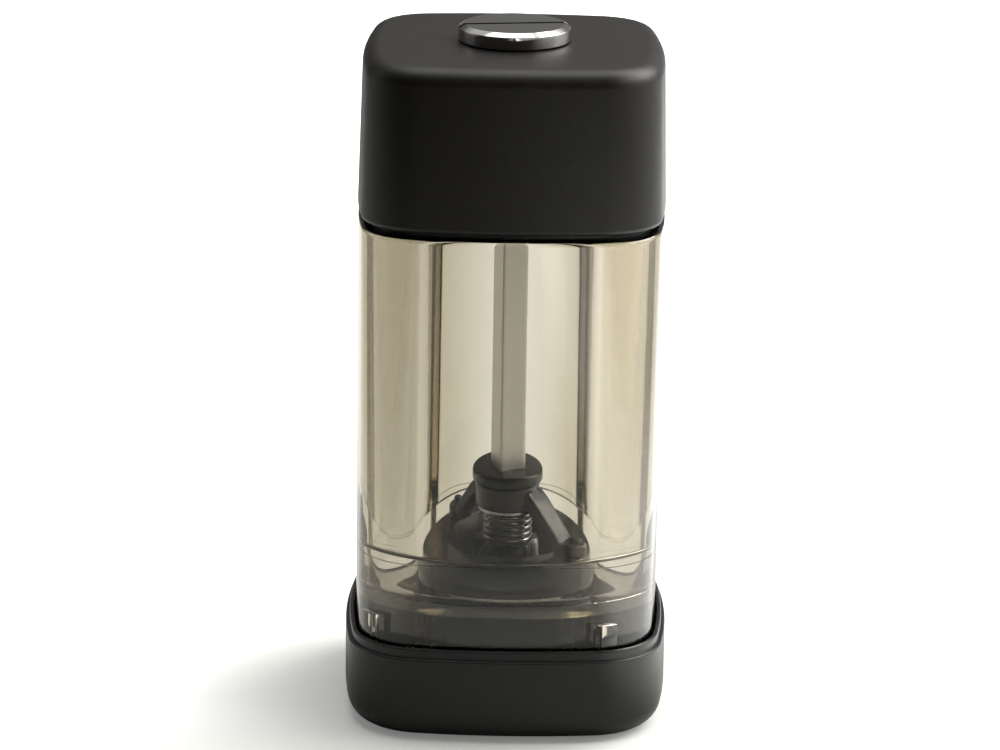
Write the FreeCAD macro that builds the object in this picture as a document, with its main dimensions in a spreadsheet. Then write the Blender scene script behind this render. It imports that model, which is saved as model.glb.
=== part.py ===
import FreeCAD, Part
import math
import os
import re
import Sketcher
from FreeCAD import Placement, Rotation, Vector

# Hand-turned pepper mill: clear body with a round bore, turning cap, conical burrs, dust tray.
# Millimetres, +Z up, origin on the floor under the middle of the tray.

doc = FreeCAD.newDocument("pepper_mill")
sheet = doc.addObject("Spreadsheet::Sheet", "Sheet")

# Sizes that can be set by themselves
sizes = {
    "fit": 0.1, "run_gap": 0.1, "drive_yaw": 23.5,
    "body_half": 30.0, "body_corner": 12.8, "side_bow": 144.0, "body_height": 91.4, "body_edge": 2.0,
    "bore_wall": 3.1, "bore_edge": 0.4, "skirt_wall": 2.3, "seat_step": 0.4, "recess_height": 26.5,
    "recess_corner": 24.7,
    "notch_width": 3.6, "notch_height": 14.0, "notch_depth": 2.8, "notch_wall": 2.6, "notch_turn": 7.5,
    "tray_over": 2.05, "tray_gap": 0.35, "tray_rim": 16.8, "lip_rise": 1.9, "lip_wall": 0.9, "lip_round": 0.4,
    "tray_floor": 2.5, "tray_ledge": 9.0, "ledge_width": 3.0, "tray_round": 8.5, "rim_round": 0.6,
    "plate_level": 18.2, "plate_thick": 2.8, "plate_edge": 0.5,
    "drum_over": 5.6, "drum_rise": 6.8, "drum_edge": 0.5, "rim_width": 7.0, "throat_step": 1.4,
    "spigot_wall": 1.4, "spigot_drop": 12.8, "clip_thick": 0.9, "clip_width": 2.2, "clip_depth": 0.5,
    "clip_gap": 3.0, "clip_room": 0.05,
    "burr_radius": 16.3, "burr_lift": 1.3, "burr_height": 9.7, "burr_gap": 0.5, "tooth_depth": 0.9,
    "burr_draft": 2.2, "burr_wall": 1.5, "stator_twist": 9.0, "ring_thick": 0.8, "ring_width": 1.2, "ring_depth": 0.5,
    "rotor_height": 20.5, "rotor_top": 8.8, "flute_depth": 1.9, "collar_height": 0.8,
    "shaft_side": 7.6, "shaft_edge": 0.4, "square_drop": 13.2, "thread_radius": 3.9, "thread_over": 0.3,
    "thread_room": 0.06, "thread_end": 0.6,
    "washer_radius": 7.5, "washer_thick": 1.0, "bolt_radius": 2.0, "bolt_length": 9.0, "bolt_head": 4.0,
    "bolt_head_height": 2.4, "bolt_socket": 1.5,
    "spring_length": 6.2, "spring_radius": 7.1, "wire": 0.72, "spring_turns": 4.5, "spring_seat": 0.05,
    "bush_radius": 7.2, "flange_radius": 9.8, "flange_thick": 2.4, "hub_wall": 1.6, "hub_height": 4.8,
    "hub_lift": 0.8, "eclip_thick": 0.5, "eclip_radius": 8.3, "eclip_depth": 0.4,
    "spider_yaw": -38.0, "arm_width": 7.4, "arm_thick": 3.4, "foot_radius": 3.9, "foot_length": 5.0, "foot_height": 2.2,
    "foot_set": 0.2, "pin_radius": 0.8, "pin_head": 1.3, "pin_head_height": 1.0, "pin_length": 6.0,
    "neck_gap": 1.2, "neck_wall": 1.9, "neck_lip": 0.6, "neck_room": 0.2,
    "cap_height": 31.6, "cap_flare": 0.1, "cap_draft": 0.9, "cap_wall": 2.4, "cap_roof": 2.6,
    "cap_round": 3.5, "cap_foot_round": 2.0, "post_offset": 17.5, "post_radius": 3.0,
    "base_set": 0.5, "base_thick": 3.0, "socket_radius": 11.8, "socket_height": 4.5, "insert_side": 15.0,
    "insert_thick": 3.0, "shaft_room": 0.9,
    "screw_radius": 1.1, "screw_length": 10.0, "screw_head": 2.3, "screw_head_height": 1.8,
    "seat_flange": 8.6, "seat_thick": 0.9, "seat_wall": 1.2, "seat_length": 5.0, "boss_wall": 2.4, "seat_stand": 0.1,
    "nut_radius": 10.9, "nut_height": 3.2, "nut_bevel": 1.15, "nut_bevel_height": 0.7, "slot_width": 1.2,
    "slot_depth": 1.0, "slot_yaw": 8.6, "stem_radius": 5.6, "stem_length": 9.8, "stem_room": 1.3,
}

# Heights and fits that follow from them
levels = {
    "bow_shift": "=side_bow - body_half",
    "bore_radius": "=body_half - bore_wall",
    "neck_bore": "=bore_radius - neck_wall",
    "burr_bore": "=burr_radius + fit",
    "spigot_radius": "=burr_bore + spigot_wall",
    "drum_radius": "=spigot_radius + drum_over",
    "throat_radius": "=burr_bore - throat_step",
    "grind_low": "=burr_radius - burr_wall",
    "grind_top": "=grind_low - burr_draft",
    "notch_in": "=body_half - skirt_wall + notch_wall",
    "z_body": "=tray_ledge + body_height",
    "z_ceiling": "=tray_ledge + recess_height",
    "z_plate": "=tray_ledge + plate_level",
    "z_plate_low": "=z_plate - plate_thick",
    "z_drum": "=z_plate + drum_rise",
    "z_spigot": "=z_plate_low - spigot_drop",
    "z_burr": "=z_spigot + burr_lift",
    "z_burr_top": "=z_burr + burr_height",
    "z_rotor": "=z_burr + rotor_height",
    "z_bush": "=z_rotor + spring_length",
    "z_hub": "=z_bush + hub_lift",
    "z_hub_top": "=z_hub + hub_height",
    "z_flange": "=z_hub_top + run_gap",
    "z_flange_top": "=z_flange + flange_thick",
    "z_cap": "=z_body + neck_gap",
    "z_cap_top": "=z_cap + cap_height",
    "z_base": "=z_cap + base_set",
    "z_base_top": "=z_base + base_thick",
    "z_socket": "=z_base_top + socket_height",
    "z_nut": "=z_cap_top + seat_stand + run_gap",
    "z_square": "=z_cap_top - square_drop",
    "z_thread": "=z_cap_top + thread_over",
    "mouth_radius": "=drum_radius - rim_width",
    "hub_bore": "=bush_radius + run_gap",
    "hub_radius": "=hub_bore + hub_wall",
    "foot_out": "=drum_radius - foot_set",
    "foot_in": "=foot_out - foot_length",
    "pin_circle": "=foot_out - foot_length / 2",
    "hole_side": "=shaft_side + 2 * fit",
    "seat_bore": "=stem_radius + run_gap",
    "seat_radius": "=seat_bore + seat_wall",
}

for row, (name, entry) in enumerate({**sizes, **levels}.items(), 1):
    sheet.set("A%d" % row, name)
    sheet.set("B%d" % row, str(entry))
    sheet.setAlias("B%d" % row, name)
doc.recompute()
known = set(sizes) | set(levels)


def bound(expr):
    return re.sub(r"[a-z][a-z_]*", lambda w: "Sheet." + w[0] if w[0] in known else w[0], expr)


def value(expr):
    got = sheet.evalExpression(bound(expr))
    return float(getattr(got, "Value", got))


def new_body(label):
    body = doc.addObject("PartDesign::Body", label)
    body.Label = label
    return body


def origin(body, role):
    return next(o for o in body.Origin.OriginFeatures if o.Role == role)


def new_sketch(body, name, plane, level="0", yaw=None):
    sketch = body.newObject("Sketcher::SketchObject", name)
    sketch.AttachmentSupport = [(origin(body, plane), "")]
    sketch.MapMode = "FlatFace"
    turn = Rotation(Vector(0, 0, 1), value(yaw)) if yaw else Rotation()
    sketch.AttachmentOffset = Placement(Vector(0, 0, value(level)), turn)
    if level != "0":
        sketch.setExpression("AttachmentOffset.Base.z", bound(level))
    if yaw:
        sketch.setExpression("AttachmentOffset.Rotation.Angle", bound("(%s) * 1 deg" % yaw))
    return sketch


def constrain(sketch, kind, *where, expr):
    number = sketch.addConstraint(Sketcher.Constraint(kind, *where, value(expr)))
    sketch.setExpression("Constraints[%d]" % number, bound(expr))


def rounded(sketch, inset, round_corner="body_corner"):
    # rounded square with bowed sides: four side arcs and four corner arcs, all tangent
    centre = value("side_bow - body_half")
    side = value("side_bow - (%s)" % inset)
    corner = value("%s - (%s)" % (round_corner, inset))
    b, c = 2 * centre, centre ** 2 - (side - corner) ** 2
    reach = (-b + math.sqrt(b * b - 8 * c)) / 4
    phi = math.atan2(reach, reach + centre)
    down = -math.pi / 2
    arcs = []
    for q in range(4):
        turn = Rotation(Vector(0, 0, 1), 90 * q)
        for x, y, radius, a, z in ((0, centre, side, down - phi, down + phi),
                                   (reach, -reach, corner, down + phi, -phi)):
            circle = Part.Circle(turn.multVec(Vector(x, y, 0)), Vector(0, 0, 1), radius)
            quarter = q * math.pi / 2
            arcs.append(sketch.addGeometry(Part.ArcOfCircle(circle, a + quarter, z + quarter), False))
    for k in range(8):
        sketch.addConstraint(Sketcher.Constraint("Tangent", arcs[k], 2, arcs[(k + 1) % 8], 1))
    for q in range(4):
        arc = arcs[2 * q]
        sketch.addConstraint(Sketcher.Constraint("PointOnObject", arc, 3, -2 if q % 2 == 0 else -1))
        ends = (-1, 1, arc, 3) if q in (0, 3) else (arc, 3, -1, 1)
        constrain(sketch, "DistanceY" if q % 2 == 0 else "DistanceX", *ends, expr="side_bow - body_half")
        constrain(sketch, "Radius", arc, expr="side_bow - (%s)" % inset)
        constrain(sketch, "Radius", arcs[2 * q + 1], expr="%s - (%s)" % (round_corner, inset))


def polygon(sketch, points):
    spots = [Vector(value(x), value(y), 0) for x, y in points]
    count = len(spots)
    lines = []
    for k in range(count):
        lines.append(sketch.addGeometry(Part.LineSegment(spots[k], spots[(k + 1) % count]), False))
    for k in range(count):
        sketch.addConstraint(Sketcher.Constraint("Coincident", lines[k], 2, lines[(k + 1) % count], 1))
    for line, (x, y) in zip(lines, points):
        for kind, axis, expr in (("DistanceX", -2, x), ("DistanceY", -1, y)):
            if expr == "0":
                sketch.addConstraint(Sketcher.Constraint("PointOnObject", line, 1, axis))
            else:
                constrain(sketch, kind, -1, 1, line, 1, expr=expr)


def oblong(sketch, left, right, low, high):
    polygon(sketch, [(left, low), (right, low), (right, high), (left, high)])


def square(sketch, side):
    half = "(%s) / 2" % side
    oblong(sketch, "-" + half, half, "-" + half, half)


def circle(sketch, radius, x="0", y="0"):
    ring = sketch.addGeometry(Part.Circle(Vector(value(x), value(y), 0), Vector(0, 0, 1), value(radius)), False)
    constrain(sketch, "Radius", ring, expr=radius)
    for kind, axis, expr in (("DistanceX", -2, x), ("DistanceY", -1, y)):
        if expr == "0":
            sketch.addConstraint(Sketcher.Constraint("PointOnObject", ring, 3, axis))
        else:
            constrain(sketch, kind, -1, 1, ring, 3, expr=expr)


def feature(body, kind, name, sketch, length=None, **settings):
    made = body.newObject("PartDesign::" + kind, name)
    made.Profile = sketch
    for key, setting in settings.items():
        setattr(made, key, setting)
    if length:
        made.setExpression("Length", bound(length))
    doc.recompute()
    return made


def pad(body, name, sketch, length, **settings):
    return feature(body, "Pad", name, sketch, length, **settings)


def pocket(body, name, sketch, length, **settings):
    before = body.Shape.Volume
    made = feature(body, "Pocket", name, sketch, length, **settings)
    if body.Shape.Volume > before - 1e-6:
        raise RuntimeError(body.Label + ": pocket cuts nothing: " + name)
    return made


def turned(body, name, points, kind="Revolution"):
    sketch = new_sketch(body, name + "_profile", "XZ_Plane")
    polygon(sketch, points)
    return feature(body, kind, name, sketch, ReferenceAxis=(sketch, ["V_Axis"]), Angle=360.0)


def polar(body, name, originals, count):
    made = body.newObject("PartDesign::PolarPattern", name)
    made.Originals = originals
    made.Axis = (origin(body, "Z_Axis"), [""])
    made.Angle = 360.0
    made.Occurrences = count
    body.Tip = made
    doc.recompute()
    return made


def ease(body, kind, name, size, pick):
    # rounds or bevels the edges of the tip that the pick function takes
    tip = body.Tip
    edges = ["Edge%d" % (k + 1) for k, edge in enumerate(tip.Shape.Edges) if pick(edge)]
    made = body.newObject("PartDesign::" + kind, name)
    made.Base = (tip, edges)
    made.setExpression("Radius" if kind == "Fillet" else "Size", bound(size))
    doc.recompute()
    return made


def flat_at(level, least=0.0, most=1e9):
    # edges that lie at one height, whose middle is between two distances from the axis
    z = value(level)

    def pick(edge):
        box = edge.BoundBox
        if abs(box.ZMin - z) > 1e-4 or abs(box.ZMax - z) > 1e-4:
            return False
        middle = edge.valueAt((edge.FirstParameter + edge.LastParameter) / 2)
        return least <= math.hypot(middle.x, middle.y) <= most
    return pick


# Tray: stepped rim with a raised lip, a ledge for the body and a dust cup below it
tray = new_body("tray")
sketch = new_sketch(tray, "tray_plan", "XY_Plane")
rounded(sketch, "-tray_over")
pad(tray, "tray_side", sketch, "tray_rim")
ease(tray, "Fillet", "tray_foot", "tray_round", flat_at("0"))
ease(tray, "Fillet", "tray_shoulder", "rim_round", flat_at("tray_rim"))
sketch = new_sketch(tray, "lip_plan", "XY_Plane", "tray_rim")
rounded(sketch, "-tray_gap - lip_wall")
pad(tray, "tray_lip", sketch, "lip_rise")
sketch = new_sketch(tray, "well_plan", "XY_Plane", "tray_rim + lip_rise")
rounded(sketch, "-tray_gap")
pocket(tray, "tray_well", sketch, "tray_rim + lip_rise - tray_ledge")
sketch = new_sketch(tray, "cup_plan", "XY_Plane", "tray_ledge")
rounded(sketch, "ledge_width")
pocket(tray, "tray_cup", sketch, "tray_ledge - tray_floor")
ease(tray, "Fillet", "lip_top", "lip_round", flat_at("tray_rim + lip_rise"))

# Clear body: round bore, wider stepped recess at its foot, four notches up into the corners
block = new_body("body_block")
sketch = new_sketch(block, "block_plan", "XY_Plane", "tray_ledge")
rounded(sketch, "0")
pad(block, "block_side", sketch, "body_height")
ease(block, "Fillet", "block_top", "body_edge", flat_at("z_body"))
sketch = new_sketch(block, "bore_plan", "XY_Plane", "z_body")
circle(sketch, "bore_radius")
pocket(block, "bore", sketch, "body_height")
sketch = new_sketch(block, "recess_plan", "XY_Plane", "tray_ledge")
rounded(sketch, "skirt_wall + seat_step", "recess_corner")
pocket(block, "recess", sketch, "recess_height", Reversed=True)
sketch = new_sketch(block, "seat_plan", "XY_Plane", "tray_ledge")
rounded(sketch, "skirt_wall", "recess_corner")
pocket(block, "plate_seat", sketch, "plate_level", Reversed=True)
ease(block, "Chamfer", "bore_mouth", "bore_edge", flat_at("z_body", most=value("bore_radius") + 0.2))
sketch = new_sketch(block, "notch_plan", "XY_Plane", "tray_ledge", yaw="-45 - notch_turn")
oblong(sketch, "notch_in", "notch_in + notch_depth", "-notch_width / 2", "notch_width / 2")
notch = pocket(block, "notch", sketch, "notch_height", Reversed=True)
polar(block, "notches", [notch], 4)

# Clear plate that carries the drum
plate = new_body("base_plate")
sketch = new_sketch(plate, "plate_plan", "XY_Plane", "z_plate_low")
rounded(sketch, "skirt_wall + fit", "recess_corner")
pad(plate, "plate", sketch, "plate_thick")
ease(plate, "Chamfer", "plate_low_edge", "plate_edge", flat_at("z_plate_low"))
sketch = new_sketch(plate, "plate_hole_plan", "XY_Plane", "z_plate")
circle(sketch, "spigot_radius + fit")
pocket(plate, "plate_hole", sketch, "plate_thick")

# Drum: rim for the spider, funnel mouth, seat for the ring burr, grooves for both rings
drum = new_body("grinder_drum")
turned(drum, "drum", [
    ("burr_bore", "z_spigot"), ("spigot_radius", "z_spigot"),
    ("spigot_radius", "z_plate_low - clip_room * 2 - clip_thick"),
    ("spigot_radius - clip_depth", "z_plate_low - clip_room * 2 - clip_thick"),
    ("spigot_radius - clip_depth", "z_plate_low"), ("spigot_radius", "z_plate_low"),
    ("spigot_radius", "z_plate"), ("drum_radius", "z_plate"),
    ("drum_radius", "z_drum - drum_edge"), ("drum_radius - drum_edge", "z_drum"),
    ("mouth_radius", "z_drum"), ("throat_radius", "z_plate"), ("throat_radius", "z_burr_top"),
    ("burr_bore", "z_burr_top"), ("burr_bore", "z_burr"),
    ("burr_bore + ring_depth", "z_burr"), ("burr_bore + ring_depth", "z_burr - ring_thick - clip_room"),
    ("burr_bore", "z_burr - ring_thick - clip_room")])
sketch = new_sketch(drum, "pin_hole_plan", "XY_Plane", "z_drum", yaw="spider_yaw")
circle(sketch, "pin_radius + clip_room", "pin_circle")
pin_hole = pocket(drum, "pin_hole", sketch, "pin_length")
polar(drum, "pin_holes", [pin_hole], 2)


def open_ring(label, inner, outer, low, thick, gap):
    # flat retaining ring with a slot cut through one side
    ring = new_body(label)
    plan = new_sketch(ring, label + "_plan", "XY_Plane", low)
    circle(plan, outer)
    circle(plan, inner)
    pad(ring, label + "_flat", plan, thick)
    slot = new_sketch(ring, label + "_slot_plan", "XY_Plane", low)
    oblong(slot, "-(%s) / 2" % gap, "(%s) / 2" % gap, "(%s) / 2" % inner, outer + " + 1")
    pocket(ring, label + "_slot", slot, thick, Reversed=True)
    return ring


clip = open_ring("drum_clip", "spigot_radius - clip_depth + clip_room", "spigot_radius - clip_depth + clip_width",
                 "z_plate_low - clip_room - clip_thick", "clip_thick", "clip_gap")
stator_ring = open_ring("stator_ring", "burr_bore + ring_depth - clip_room - ring_width",
                        "burr_bore + ring_depth - clip_room", "z_burr - ring_thick", "ring_thick", "clip_gap")

# Spider: hub ring on two sloping arms whose round feet stand on the drum's rim
spider = new_body("spider")
turned(spider, "hub", [("hub_bore", "z_hub"), ("hub_radius", "z_hub"),
                       ("hub_radius", "z_hub_top"), ("hub_bore", "z_hub_top")])
sketch = new_sketch(spider, "arm_profile", "XZ_Plane")
polygon(sketch, [
    ("hub_radius - hub_wall / 2", "z_hub_top - 0.3"), ("hub_radius", "z_hub_top - 0.3"),
    ("foot_in + 0.3", "z_drum + foot_height"), ("foot_in + 0.3", "z_drum"), ("foot_in", "z_drum"),
    ("foot_in - arm_thick * 0.7", "z_drum + foot_height"), ("hub_radius", "z_hub"),
    ("hub_radius - hub_wall / 2", "z_hub")])
arm = pad(spider, "arm", sketch, "arm_width", Midplane=True)
sketch = new_sketch(spider, "foot_plan", "XY_Plane", "z_drum")
circle(sketch, "foot_radius", "foot_out - foot_radius")
foot = pad(spider, "foot", sketch, "foot_height")
sketch = new_sketch(spider, "foot_hole_plan", "XY_Plane", "z_drum + foot_height")
circle(sketch, "pin_radius + clip_room", "pin_circle")
foot_hole = pocket(spider, "foot_hole", sketch, "foot_height")
polar(spider, "arms", [arm, foot, foot_hole], 2)
spider.Placement = Placement(Vector(), Rotation(Vector(0, 0, 1), value("spider_yaw")))


def screws(label, count, at, low, shank, length, head, head_height, head_low, yaw=None):
    # identical screws on one circle, each a shank and a flat head, as one group of solids
    pieces = []
    for name, radius, bottom, height in (("shank", shank, low, length), ("head", head, head_low, head_height)):
        piece = doc.addObject("Part::Cylinder", label + "_" + name)
        piece.setExpression("Radius", bound(radius))
        piece.setExpression("Height", bound(height))
        piece.setExpression("Placement.Base.z", bound(bottom))
        pieces.append(piece)
    doc.recompute()
    one = pieces[0].Shape.fuse(pieces[1].Shape).removeSplitter()
    group = []
    for k in range(count):
        angle = 360.0 / count * k + (yaw or 0)
        spot = Rotation(Vector(0, 0, 1), angle).multVec(Vector(value(at), 0, 0))
        copy = one.copy()
        copy.translate(spot)
        group.append(copy)
    made = doc.addObject("Part::Feature", label)
    made.Label = label
    made.Shape = Part.makeCompound(group)
    return made


spider_screws = screws("spider_screws", 2, "pin_circle", "z_drum + foot_height + clip_room - pin_length",
                       "pin_radius", "pin_length", "pin_head", "pin_head_height", "z_drum + foot_height + clip_room",
                       yaw=value("spider_yaw"))


def burr(teeth, sections, land, lead):
    # toothed cone: ruled loft through saw-tooth outlines of (height, tip, root, twist in degrees)
    wires = []
    for z, tip, root, twist in sections:
        points = []
        for k in range(teeth):
            start = 2 * math.pi * k / teeth + math.radians(twist)
            step = 2 * math.pi / teeth
            for share, radius in ((0, tip), (land, tip), (lead, root)):
                if share or radius == tip:
                    angle = start + share * step
                    points.append(Vector(radius * math.cos(angle), radius * math.sin(angle), z))
        wires.append(Part.makePolygon(points + points[:1]))
    return Part.makeLoft(wires, True, True)


# Ring burr: straight inner teeth that widen downward
low, top = value("z_burr"), value("z_burr_top")
slope = (value("grind_top") - value("grind_low")) / (top - low)
depth = value("tooth_depth")


def grind(z):
    return value("grind_low") + slope * (z - low)


stator = doc.addObject("Part::Feature", "stator")
stator.Label = "stator"
ring = Part.makeCylinder(value("burr_radius"), top - low, Vector(0, 0, low))
cone = burr(20, [(z, grind(z) + depth, grind(z), turn) for z, turn in ((low - 1, 0), (top + 1, value("stator_twist")))], 0.25, 0.55)
stator.Shape = ring.cut(cone)

# Cone burr: spiral feeding flutes above, fine teeth below, square hole for the shaft
rotor = doc.addObject("Part::Feature", "rotor")
rotor.Label = "rotor"
gap, collar, peak = value("burr_gap"), value("collar_height"), value("z_rotor")
fine = [(z, grind(z) - gap, grind(z) - gap - depth, turn) for z, turn in ((low, 0), ((low + top) / 2, -7), (top, -14))]
neck = grind(top) - gap - depth
flute = value("flute_depth")
coarse = []
for k in range(4):
    share = k / 3
    tip = neck + (value("rotor_top") - neck) * share
    coarse.append((top + collar + (peak - top - collar) * share, tip, tip - flute, 50 * share))
lower = burr(20, fine, 0.25, 0.55)
upper = burr(6, coarse, 0.35, 0.7)
rim = Part.makeCylinder(neck, collar, Vector(0, 0, top))
hole = Part.makeBox(value("hole_side"), value("hole_side"), peak - low + 2)
hole.translate(Vector(-value("hole_side") / 2, -value("hole_side") / 2, low - 1))
hole.rotate(Vector(), Vector(0, 0, 1), value("drive_yaw"))
rotor.Shape = lower.fuse(rim).fuse(upper).cut(hole).removeSplitter()

# Bush: flange over the hub, sleeve in its bore, groove for the clip, square hole
bush = new_body("drive_bush")
turned(bush, "bush", [
    ("0", "z_bush"), ("bush_radius", "z_bush"), ("bush_radius", "z_hub - run_gap - eclip_thick - clip_room"),
    ("bush_radius - eclip_depth", "z_hub - run_gap - eclip_thick - clip_room"),
    ("bush_radius - eclip_depth", "z_hub - run_gap"), ("bush_radius", "z_hub - run_gap"),
    ("bush_radius", "z_flange"), ("flange_radius", "z_flange"), ("flange_radius", "z_flange_top - 0.4"),
    ("flange_radius - 0.4", "z_flange_top"), ("0", "z_flange_top")])
sketch = new_sketch(bush, "bush_hole_plan", "XY_Plane", "z_flange_top", yaw="drive_yaw")
square(sketch, "hole_side")
pocket(bush, "bush_hole", sketch, "z_flange_top - z_bush")
bush_clip = open_ring("bush_clip", "bush_radius - eclip_depth + clip_room", "eclip_radius",
                      "z_hub - run_gap - eclip_thick", "eclip_thick", "clip_gap")

# Shaft: square bar with a turned thread at the top and a tapped hole below
shaft = new_body("square_shaft")
sketch = new_sketch(shaft, "bar_plan", "XY_Plane", "z_burr", yaw="drive_yaw")
square(sketch, "shaft_side")
pad(shaft, "bar", sketch, "z_square - z_burr")
half_height = value("(z_square - z_burr) / 2")
ease(shaft, "Chamfer", "bar_edges", "shaft_edge", lambda edge: edge.BoundBox.ZLength > half_height)
sketch = new_sketch(shaft, "thread_plan", "XY_Plane", "z_square")
circle(sketch, "thread_radius")
pad(shaft, "thread", sketch, "z_thread - z_square")
ease(shaft, "Chamfer", "thread_tip", "thread_end", flat_at("z_thread"))
sketch = new_sketch(shaft, "tapped_plan", "XY_Plane", "z_burr")
circle(sketch, "bolt_radius + clip_room")
pocket(shaft, "tapped", sketch, "bolt_length + clip_room", Reversed=True)

# Washer and screw that hold the rotor on the shaft
washer = new_body("rotor_washer")
sketch = new_sketch(washer, "washer_plan", "XY_Plane", "z_burr - washer_thick")
circle(sketch, "washer_radius")
circle(sketch, "bolt_radius + clip_room")
pad(washer, "washer", sketch, "washer_thick")
bolt = new_body("rotor_screw")
turned(bolt, "bolt", [
    ("0", "z_burr - washer_thick - bolt_head_height"), ("bolt_head - 0.4", "z_burr - washer_thick - bolt_head_height"),
    ("bolt_head", "z_burr - washer_thick - bolt_head_height + 0.4"), ("bolt_head", "z_burr - washer_thick"),
    ("bolt_radius", "z_burr - washer_thick"), ("bolt_radius", "z_burr + bolt_length - 0.4"),
    ("bolt_radius - 0.4", "z_burr + bolt_length"), ("0", "z_burr + bolt_length")])
sketch = new_sketch(bolt, "socket_plan", "XY_Plane", "z_burr - washer_thick - bolt_head_height")
hexagon = []
for k in range(6):
    hexagon.append(("bolt_head * 0.55 * cos(%d)" % (60 * k), "bolt_head * 0.55 * sin(%d)" % (60 * k)))
hexagon[0] = ("bolt_head * 0.55", "0")
hexagon[3] = ("-bolt_head * 0.55", "0")
polygon(sketch, hexagon)
pocket(bolt, "socket", sketch, "bolt_socket", Reversed=True)


def arc_between(start, corner, end):
    # circular arc that leaves start towards the corner point and reaches end from it
    middle = (start + end) / 2
    reach = (corner - start).Length
    sine = (middle - start).Length / reach
    cosine = math.sqrt(max(0.0, 1 - sine * sine))
    towards = (middle - corner).normalize()
    return Part.Arc(start, corner + towards * (reach * (1 - sine) / cosine), end).toShape()


def biarc(start, start_way, end, end_way):
    across = end - start
    ways = start_way + end_way
    bend = 2 * (1 - start_way.dot(end_way))
    run = across.dot(ways)
    reach = (-run + math.sqrt(run * run + bend * across.dot(across))) / bend
    near, far = start + start_way * reach, end - end_way * reach
    middle = (near + far) / 2
    return [arc_between(start, near, middle), arc_between(middle, far, end)]


# Spring: one wire wound on a helix between the rotor's top and the bush
wire, turns = value("wire"), value("spring_turns")
mean = value("spring_radius") - wire / 2
start_z = value("z_rotor + spring_seat") + wire / 2
rise = value("spring_length - 2 * spring_seat") - wire


def helix(share):
    angle = 2 * math.pi * turns * share
    spot = Vector(mean * math.cos(angle), mean * math.sin(angle), start_z + rise * share)
    way = Vector(-mean * math.sin(angle), mean * math.cos(angle), rise / (2 * math.pi * turns)).normalize()
    return spot, way


steps = max(1, round(2 * turns))
path = []
for k in range(steps):
    path += biarc(*helix(k / steps), *helix((k + 1) / steps))
spine = Part.Wire(path)
spot, way = helix(0)
pipe = Part.BRepOffsetAPI.MakePipeShell(spine)
pipe.add(Part.Wire(Part.Circle(spot, way, wire / 2).toShape()))
pipe.build()
pipe.makeSolid()
spring = doc.addObject("Part::Feature", "spring")
spring.Label = "spring"
spring.Shape = pipe.shape()
walk = [helix(k / 720)[0] for k in range(721)]
far_enough = int(720 / turns / 2)
least = min((a - b).Length for k, a in enumerate(walk) for b in walk[k + far_enough:]) - wire
print("spring: wire length %.1f, least gap to itself %.3f" % (spine.Length, least))

# Glide ring in the gap under the cap, with a lip in the bore's mouth
glide = new_body("glide_ring")
sketch = new_sketch(glide, "glide_plan", "XY_Plane", "z_body + run_gap")
rounded(sketch, "cap_wall + fit")
pad(glide, "glide_flat", sketch, "z_base - z_body - run_gap")
sketch = new_sketch(glide, "lip_round_plan", "XY_Plane", "z_body - neck_lip")
circle(sketch, "bore_radius - neck_room - bore_edge")
pad(glide, "glide_lip", sketch, "neck_lip + run_gap")
sketch = new_sketch(glide, "glide_bore_plan", "XY_Plane", "z_base")
circle(sketch, "neck_bore")
pocket(glide, "glide_bore", sketch, "z_base - z_body + neck_lip")

# Cap base: plate with screw holes and a socket that holds the drive insert
base = new_body("cap_base")
sketch = new_sketch(base, "base_plan", "XY_Plane", "z_base")
rounded(sketch, "cap_wall + cap_draft * (base_set + base_thick) / cap_height + fit")
pad(base, "base_flat", sketch, "base_thick")
sketch = new_sketch(base, "socket_ring_plan", "XY_Plane", "z_base_top")
circle(sketch, "socket_radius")
pad(base, "socket_ring", sketch, "socket_height")
sketch = new_sketch(base, "insert_plan", "XY_Plane", "z_socket", yaw="drive_yaw")
square(sketch, "insert_side + 2 * clip_room")
pocket(base, "insert_pocket", sketch, "insert_thick")
sketch = new_sketch(base, "shaft_plan", "XY_Plane", "z_socket")
circle(sketch, "shaft_side / sqrt(2) + shaft_room")
pocket(base, "shaft_hole", sketch, "z_socket - z_base")
sketch = new_sketch(base, "screw_head_plan", "XY_Plane", "z_base", yaw="45")
circle(sketch, "screw_head + fit", "post_offset * sqrt(2)")
head_hole = pocket(base, "screw_head_hole", sketch, "screw_head_height + clip_room", Reversed=True)
sketch = new_sketch(base, "screw_plan", "XY_Plane", "z_base", yaw="45")
circle(sketch, "screw_radius + clip_room", "post_offset * sqrt(2)")
screw_hole = pocket(base, "screw_hole", sketch, "base_thick", Reversed=True)
polar(base, "screw_holes", [head_hole, screw_hole], 4)

# Drive insert
insert = new_body("drive_insert")
sketch = new_sketch(insert, "insert_flat_plan", "XY_Plane", "z_socket - insert_thick", yaw="drive_yaw")
square(sketch, "insert_side")
pad(insert, "insert_flat", sketch, "insert_thick")
sketch = new_sketch(insert, "insert_hole_plan", "XY_Plane", "z_socket", yaw="drive_yaw")
square(sketch, "hole_side")
pocket(insert, "insert_hole", sketch, "insert_thick")

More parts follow.
